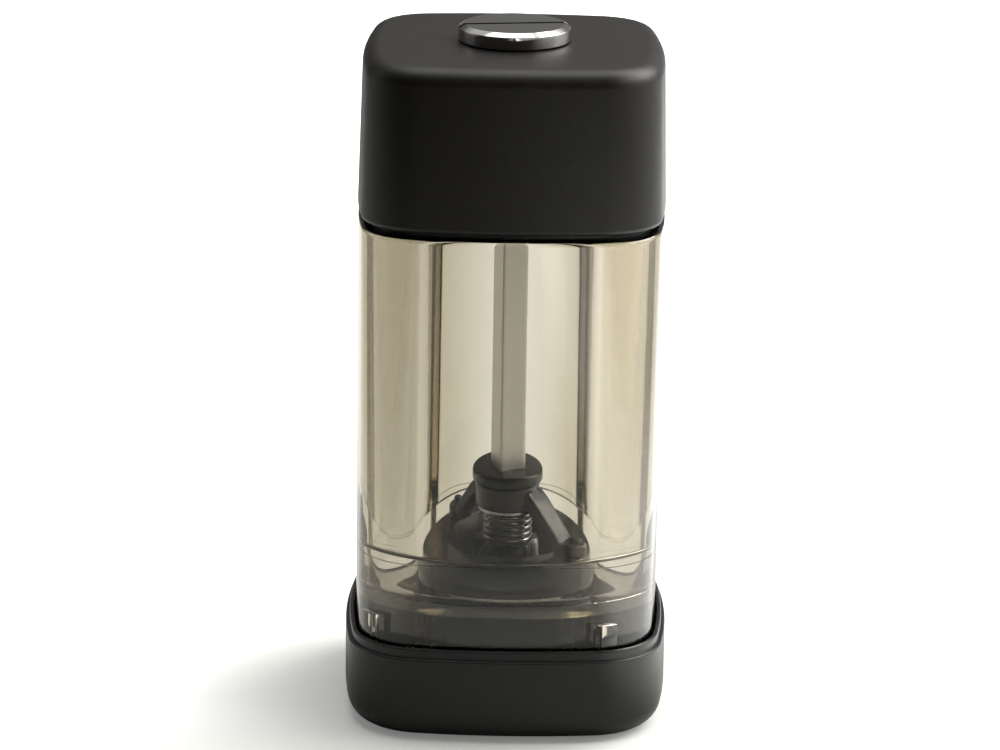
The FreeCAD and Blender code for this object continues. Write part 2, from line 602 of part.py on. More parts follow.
# Cap: tapered rounded square, hollow, with four screw posts and a boss round the nut's stem
cap = new_body("cap_shell")
sketch = new_sketch(cap, "cap_plan", "XY_Plane", "z_cap")
rounded(sketch, "-cap_flare")
side = pad(cap, "cap_side", sketch, "cap_height")
side.setExpression("TaperAngle", bound("-atan(cap_draft / cap_height)"))
doc.recompute()
ease(cap, "Fillet", "cap_top", "cap_round", flat_at("z_cap_top"))
ease(cap, "Fillet", "cap_foot", "cap_foot_round", flat_at("z_cap"))
sketch = new_sketch(cap, "hollow_plan", "XY_Plane", "z_cap")
rounded(sketch, "cap_wall")
hollow = pocket(cap, "cap_hollow", sketch, "cap_height - cap_roof", Reversed=True)
hollow.setExpression("TaperAngle", bound("-atan(cap_draft / cap_height)"))
doc.recompute()
sketch = new_sketch(cap, "boss_plan", "XY_Plane", "z_cap_top - seat_length - cap_roof")
circle(sketch, "seat_radius + boss_wall")
pad(cap, "boss", sketch, "seat_length + cap_roof / 2")
sketch = new_sketch(cap, "post_plan", "XY_Plane", "z_base_top", yaw="45")
circle(sketch, "post_radius", "post_offset * sqrt(2)")
post = pad(cap, "post", sketch, "z_cap_top - cap_roof / 2 - z_base_top")
sketch = new_sketch(cap, "post_hole_plan", "XY_Plane", "z_base_top", yaw="45")
circle(sketch, "screw_radius + clip_room", "post_offset * sqrt(2)")
post_hole = pocket(cap, "post_hole", sketch, "screw_length", Reversed=True)
polar(cap, "posts", [post, post_hole], 4)
sketch = new_sketch(cap, "stem_plan", "XY_Plane", "z_cap_top")
circle(sketch, "seat_radius + clip_room")
pocket(cap, "stem_hole", sketch, "seat_length + cap_roof")
sketch = new_sketch(cap, "seat_ring_plan", "XY_Plane", "z_cap_top")
circle(sketch, "seat_flange + clip_room")
pocket(cap, "seat_ring", sketch, "seat_thick - seat_stand")

cap_screws = screws("cap_screws", 4, "post_offset * sqrt(2)", "z_base + screw_head_height", "screw_radius",
                    "screw_length", "screw_head", "screw_head_height", "z_base", yaw=45)

# Ferrule in the roof, and the slotted nut whose stem runs through it
seat = new_body("nut_seat")
turned(seat, "seat", [
    ("seat_bore", "z_cap_top - seat_length"), ("seat_radius", "z_cap_top - seat_length"),
    ("seat_radius", "z_cap_top + seat_stand - seat_thick"), ("seat_flange", "z_cap_top + seat_stand - seat_thick"),
    ("seat_flange", "z_cap_top + seat_stand"), ("seat_bore", "z_cap_top + seat_stand")])
nut = new_body("adjust_nut")
turned(nut, "nut", [
    ("thread_radius + thread_room", "z_nut - stem_length"), ("stem_radius", "z_nut - stem_length"),
    ("stem_radius", "z_nut"), ("nut_radius - 0.3", "z_nut"), ("nut_radius", "z_nut + 0.3"),
    ("nut_radius", "z_nut + nut_height - nut_bevel_height"), ("nut_radius - nut_bevel", "z_nut + nut_height"),
    ("0", "z_nut + nut_height"), ("0", "z_thread + stem_room"), ("thread_radius + thread_room", "z_thread + stem_room")])
sketch = new_sketch(nut, "slot_plan", "XY_Plane", "z_nut + nut_height", yaw="slot_yaw")
oblong(sketch, "-nut_radius - 1", "nut_radius + 1", "-slot_width / 2", "slot_width / 2")
pocket(nut, "slot", sketch, "slot_depth")

doc.recompute()
pieces = [tray, block, plate, drum, clip, stator, stator_ring, spider, spider_screws, bush, bush_clip, shaft, rotor,
          washer, bolt, spring, glide, base, insert, cap, cap_screws, seat, nut]
for thing in doc.Objects:
    if "Invalid" in thing.State or "Error" in thing.State:
        raise RuntimeError(thing.Label + " failed: " + ", ".join(thing.State))
for piece in pieces:
    if piece.Shape.isNull() or not piece.Shape.isValid() or piece.Shape.Volume <= 0:
        raise RuntimeError(piece.Label + " has no valid shape")
os.makedirs("parts", exist_ok=True)
for piece in pieces:
    piece.Shape.exportStep(os.path.join("parts", piece.Label + ".step"))
    box = piece.Shape.BoundBox
    print("%-16s solids %d volume %9.1f z %6.2f to %6.2f"
          % (piece.Label, len(piece.Shape.Solids), piece.Shape.Volume, box.ZMin, box.ZMax))
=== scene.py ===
import math

import bmesh
import bpy
from mathutils import Matrix, Vector


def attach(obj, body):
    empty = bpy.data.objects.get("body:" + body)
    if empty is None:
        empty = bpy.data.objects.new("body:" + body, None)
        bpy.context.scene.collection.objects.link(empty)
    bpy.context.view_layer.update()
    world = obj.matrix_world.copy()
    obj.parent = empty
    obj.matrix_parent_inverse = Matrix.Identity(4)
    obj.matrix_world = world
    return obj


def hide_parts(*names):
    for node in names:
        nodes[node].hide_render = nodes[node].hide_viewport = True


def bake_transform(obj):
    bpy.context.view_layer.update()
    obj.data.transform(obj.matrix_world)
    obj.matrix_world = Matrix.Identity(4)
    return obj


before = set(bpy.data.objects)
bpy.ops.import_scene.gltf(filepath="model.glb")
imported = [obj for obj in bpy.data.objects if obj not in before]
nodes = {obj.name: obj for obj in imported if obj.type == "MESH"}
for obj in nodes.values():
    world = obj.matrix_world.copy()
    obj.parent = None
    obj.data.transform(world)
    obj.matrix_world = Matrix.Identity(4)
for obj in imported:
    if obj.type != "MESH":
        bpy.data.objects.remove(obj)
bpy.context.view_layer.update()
mm = 0.001  # sizes below are in mm unless a note says otherwise
print("frame loaded:", len(nodes), "nodes")

# plan shared by cap, clear body and tray: a square with bowed sides and round corners
planShape = {"half": 30.0, "corner": 12.8, "recessCorner": 24.7, "bow": 144.0, "perSide": 44, "perCorner": 28}
planKinds = ("plan", "recess")


def planPoints(inset, outerCorner=planShape["corner"]):
    shift = planShape["bow"] - planShape["half"]
    side, corner = planShape["bow"] - inset, outerCorner - inset
    span = planShape["bow"] - outerCorner
    reach = (math.sqrt(8 * span * span - 4 * shift * shift) - 2 * shift) / 4
    phi = math.atan2(reach, reach + shift)
    points = []
    for quarter in range(4):
        turn = Matrix.Rotation(quarter * math.pi / 2, 2)
        for k in range(planShape["perSide"]):
            a = -phi + 2 * phi * k / planShape["perSide"]
            points.append(turn @ Vector((side * math.sin(a), shift - side * math.cos(a))))
        for k in range(planShape["perCorner"]):
            a = -math.pi / 2 + phi + (math.pi / 2 - 2 * phi) * k / planShape["perCorner"]
            points.append(turn @ Vector((reach + corner * math.cos(a), corner * math.sin(a) - reach)))
    return points


planBearings = [math.atan2(p.y, p.x) for p in planPoints(0)]


def evenBearings(count, start=0.0):
    return [start + 2 * math.pi * k / count for k in range(count)]


# one ring of points; size is an inset for plan and recess, a radius for round, a side for square
def ringPoints(kind, size, z, bearings=None, yaw=0.0):
    if kind in planKinds:
        corner = planShape["recessCorner"] if kind == "recess" else planShape["corner"]
        return [(p.x, p.y, z) for p in planPoints(size, corner)]
    points = []
    for a in bearings or planBearings:
        r = size
        if kind == "square":
            r = size / 2 / max(abs(math.cos(a - yaw)), abs(math.sin(a - yaw)))
        points.append((r * math.cos(a), r * math.sin(a), z))
    return points


def asSame(kind, other):  # a neighbour's size in this kind's own measure, good enough for a direction
    if (kind in planKinds) == (other[0] in planKinds):
        return other[1]
    return planShape["half"] - other[1]


cutShare = 0.48  # the most of a side that one rounding takes


# rounds the corners of a profile of (kind, size, z, radius)
def softProfile(profile, closed, steps):
    out = []
    count = len(profile)
    for k, (kind, size, z, radius) in enumerate(profile):
        if radius <= 0 or (not closed and k in (0, count - 1)):
            out.append((kind, size, z))
            continue
        here = Vector((size, z))
        ways = []
        for other in (profile[k - 1], profile[(k + 1) % count]):
            ways.append(Vector((asSame(kind, other) - size, other[2] - z)))
        lengths = [w.length for w in ways]
        ways = [w.normalized() for w in ways]
        half = math.acos(max(-1, min(1, ways[0].dot(ways[1])))) / 2
        cut = min(radius / math.tan(half), cutShare * min(lengths))
        radius = cut * math.tan(half)
        middle = here + (ways[0] + ways[1]).normalized() * (radius / math.sin(half))
        first, last = here + ways[0] * cut - middle, here + ways[1] * cut - middle
        angle = math.atan2(first.x * last.y - first.y * last.x, first.dot(last))
        for s in range(steps + 1):
            p = middle + Matrix.Rotation(angle * s / steps, 2) @ first
            out.append((kind, p.x, p.y))
    return out


mergeGap = 1e-7  # metres


def loftMesh(name, rings, ends):
    bm = bmesh.new()
    rows = [[bm.verts.new(Vector(p) * mm) for p in ring] for ring in rings]
    count = len(rows[0])
    pairs = list(zip(rows, rows[1:]))
    if ends == "loop":
        pairs.append((rows[-1], rows[0]))
    for a, b in pairs:
        for k in range(count):
            bm.faces.new((a[k], a[(k + 1) % count], b[(k + 1) % count], b[k]))
    if ends == "caps":
        bm.faces.new(rows[0][::-1])
        bm.faces.new(rows[-1])
    bmesh.ops.remove_doubles(bm, verts=bm.verts, dist=mergeGap)
    bmesh.ops.recalc_face_normals(bm, faces=bm.faces)
    mesh = bpy.data.meshes.new(name)
    bm.to_mesh(mesh)
    bm.free()
    return mesh


def smoothShade(mesh, angle=34):
    mesh.shade_smooth()
    mesh.set_sharp_from_angle(angle=math.radians(angle))


def addObject(name, mesh):
    piece = bpy.data.objects.new(name, mesh)
    bpy.context.scene.collection.objects.link(piece)
    return piece


def seat(piece, material, body, replaced=(), angle=34):
    piece.data.materials.clear()
    piece.data.materials.append(material)
    smoothShade(piece.data, angle)
    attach(piece, body)
    if replaced:
        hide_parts(*replaced)


def loftPiece(name, profile, ends="loop", bearings=None, yaw=0.0, steps=5):
    soft = softProfile(profile, ends == "loop", steps)
    rings = [ringPoints(kind, size, z, bearings, yaw) for kind, size, z in soft]
    return addObject(name, loftMesh(name, rings, ends))


def bakeModifiers(piece):
    bpy.context.view_layer.update()
    view = bpy.context.evaluated_depsgraph_get()
    mesh = bpy.data.meshes.new_from_object(piece.evaluated_get(view))
    piece.modifiers.clear()
    old = piece.data
    mesh.name = old.name + "Done"
    piece.data = mesh
    bpy.data.meshes.remove(old)


def boolean(piece, cutters, operation):
    for cutter in cutters:
        step = piece.modifiers.new("join", "BOOLEAN")
        step.operation = operation
        step.solver = "EXACT"
        step.object = cutter
    bakeModifiers(piece)
    for cutter in cutters:
        bpy.data.objects.remove(cutter)


def block(name, size, spot, yaw, edge=0.0):  # small cutter, with bevelled edges where edge isn't 0
    bm = bmesh.new()
    bmesh.ops.create_cube(bm, size=1.0)
    bmesh.ops.scale(bm, vec=Vector(size) * mm, verts=bm.verts)
    if edge:
        bmesh.ops.bevel(bm, geom=bm.edges[:], offset=edge * mm, segments=3, profile=0.5, affect="EDGES")
    bmesh.ops.rotate(bm, cent=(0, 0, 0), matrix=Matrix.Rotation(yaw, 3, "Z"), verts=bm.verts)
    bmesh.ops.translate(bm, vec=Vector(spot) * mm, verts=bm.verts)
    mesh = bpy.data.meshes.new(name)
    bm.to_mesh(mesh)
    bm.free()
    return addObject(name, mesh)


def addNode(tree, kind, links=None, **settings):
    node = tree.nodes.new(kind)
    for key, setting in settings.items():
        setattr(node, key, setting)
    for key, source in (links or {}).items():
        if isinstance(source, bpy.types.NodeSocket):
            tree.links.new(source, node.inputs[key])
        else:
            node.inputs[key].default_value = source
    return node


def figure(tree, operation, *sources):  # one step of arithmetic among nodes
    return addNode(tree, "ShaderNodeMath", dict(enumerate(sources)), operation=operation).outputs[0]


def between(tree, source, low, high, first, last, way="SMOOTHSTEP"):  # from one value to another
    return addNode(tree, "ShaderNodeMapRange", {
        "Value": source, "From Min": low, "From Max": high, "To Min": first, "To Max": last,
    }, interpolation_type=way).outputs[0]


# node group with one named input for each amount
def nodeTree(name, amounts):
    tree = bpy.data.node_groups.new(name, "GeometryNodeTree")
    tree.interface.new_socket("Geometry", in_out="INPUT", socket_type="NodeSocketGeometry")
    ids = {}
    for key, amount in amounts.items():
        kind = {int: "NodeSocketInt", float: "NodeSocketFloat"}.get(type(amount), "NodeSocketMaterial")
        ids[key] = tree.interface.new_socket(key, in_out="INPUT", socket_type=kind).identifier
    tree.interface.new_socket("Geometry", in_out="OUTPUT", socket_type="NodeSocketGeometry")
    return tree, tree.nodes.new("NodeGroupInput").outputs, ids


# closes a node group, runs it on an empty mesh and keeps the result as a plain one
def runTree(name, tree, given, ids, geometry, amounts):
    real = addNode(tree, "GeometryNodeRealizeInstances", {0: geometry})
    coat = addNode(tree, "GeometryNodeSetMaterial", {
        "Geometry": real.outputs[0], "Material": given["Finish"]})
    tree.links.new(coat.outputs[0], tree.nodes.new("NodeGroupOutput").inputs[0])
    piece = addObject(name, bpy.data.meshes.new(name))
    modifier = piece.modifiers.new("shape", "NODES")
    modifier.node_group = tree
    for key, amount in amounts.items():
        modifier[ids[key]] = amount
    bakeModifiers(piece)
    return piece


# wire wound round the axis, for the thread and the spring
def woundPiece(name, turns, radius, height, wire, low, finish, perTurn, sides):
    amounts = {"Turns": turns, "Radius": radius * mm, "Height": height * mm, "Wire": wire * mm,
               "Low": low * mm, "Finish": finish}
    tree, given, ids = nodeTree(name + "Tree", amounts)
    path = addNode(tree, "GeometryNodeCurveSpiral", {
        "Resolution": perTurn, "Rotations": given["Turns"], "Start Radius": given["Radius"],
        "End Radius": given["Radius"], "Height": given["Height"]})
    outline = addNode(tree, "GeometryNodeCurvePrimitiveCircle", {
        "Resolution": sides, "Radius": given["Wire"]})
    tube = addNode(tree, "GeometryNodeCurveToMesh", {
        "Curve": path.outputs[0], "Profile Curve": outline.outputs[0], "Fill Caps": True})
    lift = addNode(tree, "ShaderNodeCombineXYZ", {"Z": given["Low"]})
    placed = addNode(tree, "GeometryNodeTransform", {
        "Geometry": tube.outputs[0], "Translation": lift.outputs[0]})
    return runTree(name, tree, given, ids, placed.outputs[0], amounts)


# finishes: fine grain in the bump, its depth in metres, and soft variation in colour and roughness
grainSet = {"detail": 4.0, "softShare": 0.04, "softDetail": 2.0, "softFrom": 0.1, "softTo": 0.9,
            "depth": 0.0001}


def newFinish(name, color, rough, **constants):
    material = bpy.data.materials.new(name)
    material.use_nodes = True
    tree = material.node_tree
    shader = tree.nodes["Principled BSDF"]
    shader.inputs["Base Color"].default_value = (*color, 1)
    shader.inputs["Roughness"].default_value = rough
    for key, amount in constants.items():
        shader.inputs[key.replace("_", " ")].default_value = amount
    return material, tree, shader


def mixColor(tree, share, first, last):
    mix = addNode(tree, "ShaderNodeMix", {0: share}, data_type="RGBA")
    mix.inputs[6].default_value, mix.inputs[7].default_value = (*first, 1), (*last, 1)
    return mix.outputs[2]


def finishOf(name, color, rough, scale, spread=0.12, roughSpread=0.05, bump=0.1, stretch=(1, 1, 1),
             **constants):
    s = grainSet
    material, tree, shader = newFinish(name, color, rough, **constants)
    where = addNode(tree, "ShaderNodeTexCoord").outputs["Object"]
    place = addNode(tree, "ShaderNodeMapping", {"Vector": where, "Scale": stretch}).outputs[0]
    grain = addNode(tree, "ShaderNodeTexNoise", {"Vector": place, "Scale": scale, "Detail": s["detail"]})
    soft = addNode(tree, "ShaderNodeTexNoise", {
        "Vector": place, "Scale": scale * s["softShare"], "Detail": s["softDetail"]}).outputs[0]
    dark = [c * (1 - spread) for c in color]
    light = [min(1, c * (1 + spread)) for c in color]
    tree.links.new(mixColor(tree, soft, dark, light), shader.inputs["Base Color"])
    sheen = between(tree, soft, s["softFrom"], s["softTo"], rough - roughSpread, rough + roughSpread)
    tree.links.new(sheen, shader.inputs["Roughness"])
    relief = addNode(tree, "ShaderNodeBump", {
        "Height": grain.outputs[0], "Strength": bump, "Distance": s["depth"]})
    tree.links.new(relief.outputs[0], shader.inputs["Normal"])
    return material


capBlack = finishOf("capSoftBlack", (0.0068, 0.0054, 0.004), 0.43, 6500.0, roughSpread=0.03, bump=0.25,
                    Specular_IOR_Level=0.33)
trayBlack = finishOf("traySatinBlack", (0.011, 0.0103, 0.0094), 0.31, 4200.0, roughSpread=0.02, bump=0.12,
                     Specular_IOR_Level=0.36)
glossBlack = finishOf("grinderGlossBlack", (0.03, 0.0294, 0.0286), 0.2, 2200.0, 0.15, roughSpread=0.06,
                      bump=0.05)
bridgeBlack = finishOf("bridgeSatinBlack", (0.036, 0.035, 0.033), 0.38, 2200.0, 0.15, roughSpread=0.06,
                       bump=0.05, Specular_IOR_Level=0.85)
shaftGrey = finishOf("shaftDrawnGrey", (0.95, 0.935, 0.88), 0.48, 900.0, 0.05, roughSpread=0.06, bump=0.25,
                     stretch=(6, 6, 0.15), Metallic=0.75)
burrSteel = finishOf("burrDarkSteel", (0.1, 0.097, 0.092), 0.3, 1800.0, 0.2, roughSpread=0.08, bump=0.3,
                     Metallic=1.0)
plainSteel = finishOf("fastenerSteel", (0.5, 0.49, 0.47), 0.28, 2600.0, roughSpread=0.06, Metallic=1.0)
nutChrome = finishOf("nutChrome", (0.56, 0.555, 0.54), 0.09, 1500.0, 0.03, roughSpread=0.03, bump=0.03,
                     Metallic=1.0)

# clear smoke plastic, with a ground line round the outer edge of the recess ceiling, tinted dark there as a
# painted shadow line; lengths in metres
clearSet = {"ior": 1.49, "rough": 0.012, "absorbColor": (0.6, 0.533, 0.38), "absorbDensity": 106.0,
            "waveScale": 90.0, "waveDetail": 1.0, "waveBump": 0.02, "waveDepth": 0.001, "haze": 0.024,
            "groundLevel": 0.0355, "groundNear": 0.00004, "groundFar": 0.0001, "groundInside": 0.0273,
            "groundFade": 0.0002, "groundRough": 0.9, "shadeLineTint": (0.1, 0.08, 0.06)}


def clearFinish():
    s = clearSet
    material, tree, shader = newFinish("clearSmoke", (1, 1, 1), s["rough"], IOR=s["ior"],
                                       Transmission_Weight=1.0)
    where = addNode(tree, "ShaderNodeTexCoord").outputs["Object"]
    wave = addNode(tree, "ShaderNodeTexNoise", {
        "Vector": where, "Scale": s["waveScale"], "Detail": s["waveDetail"]}).outputs[0]
    relief = addNode(tree, "ShaderNodeBump", {
        "Height": wave, "Strength": s["waveBump"], "Distance": s["waveDepth"]})
    tree.links.new(relief.outputs[0], shader.inputs["Normal"])
    haze = between(tree, wave, 0.0, 1.0, 0.0, s["haze"], "LINEAR")
    height = addNode(tree, "ShaderNodeSeparateXYZ", {0: where}).outputs["Z"]
    away = figure(tree, "ABSOLUTE", figure(tree, "SUBTRACT", height, s["groundLevel"]))
    groundAndShade = between(tree, away, s["groundNear"], s["groundFar"], s["groundRough"], 0.0, "LINEAR")
    level = addNode(tree, "ShaderNodeVectorMath", {0: where, 1: (1, 1, 0)}, operation="MULTIPLY").outputs[0]
    apart = addNode(tree, "ShaderNodeVectorMath", {0: level}, operation="LENGTH").outputs["Value"]
    outer = between(tree, apart, s["groundInside"], s["groundInside"] + s["groundFade"], 0.0, 1.0, "LINEAR")
    groundAndShade = figure(tree, "MULTIPLY", groundAndShade, outer)
    tree.links.new(figure(tree, "MAXIMUM", haze, groundAndShade), shader.inputs["Roughness"])
    # painted shade: the ground line's colour is tinted dark, standing in for shadow at the recess step; its
    # roughness is the real ground finish
    tree.links.new(mixColor(tree, groundAndShade, (1, 1, 1), s["shadeLineTint"]), shader.inputs["Base Color"])
    depth = addNode(tree, "ShaderNodeVolumeAbsorption", {
        "Color": (*s["absorbColor"], 1), "Density": s["absorbDensity"]})
    tree.links.new(depth.outputs[0], tree.nodes["Material Output"].inputs["Volume"])
    return material


clearSmoke = clearFinish()
print("finishes ready")

# clear body: round bore, recess at the foot and a notch in each corner of the foot
bodySet = {"foot": 9.0, "top": 100.4, "bore": 26.9, "ceiling": 35.5, "skirt": 2.3, "step": 0.4,
           "plateTop": 27.2, "topEdge": 0.8, "footEdge": 0.35, "boreEdge": 0.4, "boreFoot": 0.12,
           "ceilingEdge": 0.1, "stepEdge": 0.05, "notchWide": 3.6, "notchDeep": 2.8, "notchTall": 14.0,
           "notchIn": 30.3, "notchBearing": -52.5, "notchEdge": 0.2}


def makeBody():
    s = bodySet
    inner = s["skirt"] + s["step"]
    profile = [
        ("plan", 0, s["foot"], s["footEdge"]), ("plan", 0, s["top"], s["topEdge"]),
        ("round", s["bore"], s["top"], s["boreEdge"]), ("round", s["bore"], s["ceiling"], s["boreFoot"]),
        ("recess", inner, s["ceiling"], s["ceilingEdge"]), ("recess", inner, s["plateTop"], s["stepEdge"]),
        ("recess", s["skirt"], s["plateTop"], s["stepEdge"]),
        ("recess", s["skirt"], s["foot"], s["footEdge"])]
    body = loftPiece("clearBody", profile, steps=8)
    size = (s["notchDeep"], s["notchWide"], 2 * s["notchTall"])
    out = s["notchIn"] + s["notchDeep"] / 2
    notches = []
    for k in range(4):
        a = math.radians(s["notchBearing"] + 90 * k)
        spot = (out * math.cos(a), out * math.sin(a), s["foot"])
        notches.append(block("notch", size, spot, a, s["notchEdge"]))
    boolean(body, notches, "DIFFERENCE")
    seat(body, clearSmoke, "mill", ["body_block"], angle=30)


makeBody()

# clear plate that carries the grinder
plateSet = {"inset": 2.4, "low": 24.4, "top": 27.2, "hole": 17.9, "lowEdge": 0.5, "topEdge": 0.15,
            "holeEdge": 0.2}


def makePlate():
    s = plateSet
    profile = [("recess", s["inset"], s["low"], s["lowEdge"]), ("recess", s["inset"], s["top"], s["topEdge"]),
               ("round", s["hole"], s["top"], s["holeEdge"]), ("round", s["hole"], s["low"], s["holeEdge"])]
    seat(loftPiece("clearPlate", profile), clearSmoke, "mill", ["base_plate"])


makePlate()

# dust tray with a stepped rim and a ledge inside, on which the body stands
traySet = {"over": 2.03, "gap": 0.35, "rim": 16.8, "lip": 1.9, "lipWall": 0.9, "floor": 2.5, "ledge": 9.0,
           "ledgeWidth": 3.0, "round": 8.5, "baseInset": 8.5, "floorInset": 6.0, "floorRound": 1.2,
           "rimEdge": 0.6, "lipRoot": 0.12, "lipOutEdge": 0.35, "lipInEdge": 0.3, "ledgeRoot": 0.2,
           "ledgeEdge": 0.3}


def makeTray():
    s = traySet
    lipOut = -(s["gap"] + s["lipWall"])
    high = s["rim"] + s["lip"]
    profile = [
        ("plan", s["baseInset"], 0, 0), ("plan", -s["over"], 0, s["round"]),
        ("plan", -s["over"], s["rim"], s["rimEdge"]), ("plan", lipOut, s["rim"], s["lipRoot"]),
        ("plan", lipOut, high, s["lipOutEdge"]), ("plan", -s["gap"], high, s["lipInEdge"]),
        ("plan", -s["gap"], s["ledge"], s["ledgeRoot"]),
        ("plan", s["ledgeWidth"], s["ledge"], s["ledgeEdge"]),
        ("plan", s["ledgeWidth"], s["floor"], s["floorRound"]), ("plan", s["floorInset"], s["floor"], 0)]
    seat(loftPiece("dustTray", profile, "caps", steps=10), trayBlack, "tray_body", ["tray"])


makeTray()

# cap shell with its hollow
capSet = {"low": 101.6, "top": 133.2, "flare": 0.1, "draft": 0.9, "wall": 2.4, "roof": 2.6, "round": 3.5,
          "footRound": 2.0, "wallEdge": 0.15, "seatFlange": 8.65, "seatStep": 0.8, "seatEdge": 0.2,
          "stemHole": 6.95, "stemEdge": 0.1, "bossRadius": 9.35, "bossLow": 125.6, "bossEdge": 0.2,
          "bossRoot": 0.3, "roofRound": 0.6}


def makeCap():
    s = capSet
    upper, step = s["top"] - s["roof"], s["top"] - s["seatStep"]
    profile = [
        ("plan", s["wall"], s["low"], s["wallEdge"]), ("plan", -s["flare"], s["low"], s["footRound"]),
        ("plan", s["draft"] - s["flare"], s["top"], s["round"]),
        ("round", s["seatFlange"], s["top"], s["seatEdge"]), ("round", s["seatFlange"], step, 0),
        ("round", s["stemHole"], step, 0), ("round", s["stemHole"], s["bossLow"], s["stemEdge"]),
        ("round", s["bossRadius"], s["bossLow"], s["bossEdge"]),
        ("round", s["bossRadius"], upper, s["bossRoot"]),
        ("plan", s["wall"] + s["draft"], upper, s["roofRound"])]
    seat(loftPiece("capShell", profile, steps=10), capBlack, "cap", ["cap_shell"])


makeCap()

# grind nut: turned head with a coin slot and a stem
nutSet = {"low": 133.4, "tall": 3.195, "radius": 10.9, "bevel": 1.15, "bevelTall": 0.7, "bevelEdge": 0.12,
          "rimEdge": 0.3, "stem": 5.6, "stemLow": 123.6, "stemRoot": 0.05, "stemEdge": 0.3, "bore": 3.96,
          "boreTop": 134.8, "slotLong": 25.8, "slotWide": 1.2, "slotDeep": 1.0, "slotYaw": 8.6,
          "around": 160}


def makeNut():
    s = nutSet
    high = s["low"] + s["tall"]
    profile = [
        ("round", 0.0, high, 0), ("round", s["radius"] - s["bevel"], high, s["bevelEdge"]),
        ("round", s["radius"], high - s["bevelTall"], s["bevelEdge"]),
        ("round", s["radius"], s["low"], s["rimEdge"]), ("round", s["stem"], s["low"], s["stemRoot"]),
        ("round", s["stem"], s["stemLow"], s["stemEdge"]),
        ("round", s["bore"], s["stemLow"], s["stemEdge"]), ("round", s["bore"], s["boreTop"], 0),
        ("round", 0.0, s["boreTop"], 0)]
    nut = loftPiece("grindNut", profile, "open", evenBearings(s["around"]), steps=4)
    size = (s["slotLong"], s["slotWide"], 2 * s["slotDeep"])
    boolean(nut, [block("slot", size, (0, 0, high), math.radians(s["slotYaw"]))], "DIFFERENCE")
    seat(nut, nutChrome, "nut", ["adjust_nut"], angle=25)


makeNut()

# square shaft, tapped below, with a wound thread at its upper end
shaftSet = {"side": 7.6, "edge": 0.4, "yaw": 23.5, "low": 12.9, "square": 120.0, "thread": 133.5,
            "core": 3.55, "tip": 3.0, "tipTall": 0.5, "endBevel": 0.25, "tapped": 2.05, "tappedDeep": 9.05,
            "perEdge": 8, "pitch": 1.0, "bead": 0.3, "beadCircle": 3.57, "threadGap": 0.6, "threadEnd": 1.0,
            "perTurn": 40, "sides": 6}
shaftYaw = math.radians(shaftSet["yaw"])


def makeShaft():
    s = shaftSet
    each = s["perEdge"]
    bearings = []
    for q in range(4):  # points crowd at the four edges so that the bevel stays true
        for k in range(-each, each):
            crowd = k / each * math.pi / 4 * (abs(k) / each) ** 0.5
            bearings.append(shaftYaw + math.pi / 4 + q * math.pi / 2 + crowd)
    deep, ends = s["low"] + s["tappedDeep"], s["side"] - 2 * s["endBevel"]
    rings = []
    for z, kind, size in (
            (deep, "round", 0.0), (deep, "round", s["tapped"]), (s["low"], "round", s["tapped"]),
            (s["low"], "square", ends), (s["low"] + s["endBevel"], "square", s["side"]),
            (s["square"] - s["endBevel"], "square", s["side"]), (s["square"], "square", ends),
            (s["square"], "round", s["core"]), (s["thread"] - s["tipTall"], "round", s["core"]),
            (s["thread"], "round", s["tip"]), (s["thread"], "round", 0.0)):
        ring = ringPoints(kind, size, z, bearings, shaftYaw)
        if kind == "square":  # bevelled edges: no point further out than the bevel's corner
            limit = (size - s["edge"]) / math.sqrt(2)
            ring = [tuple(c * min(1, limit / math.hypot(x, y)) for c in (x, y)) + (z,) for x, y, z in ring]
        rings.append(ring)
    shaft = addObject("squareShaft", loftMesh("squareShaft", rings, "open"))
    seat(shaft, shaftGrey, "shaft", ["square_shaft"], angle=25)
    tall = s["thread"] - s["square"] - s["threadGap"] - s["threadEnd"]
    thread = woundPiece("shaftThread", tall / s["pitch"], s["beadCircle"], tall, s["bead"],
                        s["square"] + s["threadGap"], shaftGrey, s["perTurn"], s["sides"])
    seat(thread, shaftGrey, "shaft")


makeShaft()

# flanged bush with a square hole and a groove for its clip
bushSet = {"low": 39.6, "radius": 7.2, "flangeLow": 45.3, "top": 47.7, "flange": 9.8, "hole": 7.8,
           "grooveLow": 39.75, "grooveTop": 40.3, "groove": 6.8, "lowEdge": 0.1, "flangeRoot": 0.1,
           "flangeEdge": 0.5, "topEdge": 0.7, "around": 128}


def makeBush():
    s = bushSet
    profile = [
        ("square", s["hole"], s["low"], 0), ("round", s["radius"], s["low"], s["lowEdge"]),
        ("round", s["radius"], s["grooveLow"], 0), ("round", s["groove"], s["grooveLow"], 0),
        ("round", s["groove"], s["grooveTop"], 0), ("round", s["radius"], s["grooveTop"], 0),
        ("round", s["radius"], s["flangeLow"], s["flangeRoot"]),
        ("round", s["flange"], s["flangeLow"], s["flangeEdge"]),
        ("round", s["flange"], s["top"], s["topEdge"]), ("square", s["hole"], s["top"], 0)]
    bearings = evenBearings(s["around"], shaftYaw + math.pi / 4)
    bush = loftPiece("driveBush", profile, "loop", bearings, shaftYaw)
    seat(bush, glossBlack, "drive", ["drive_bush"])


makeBush()

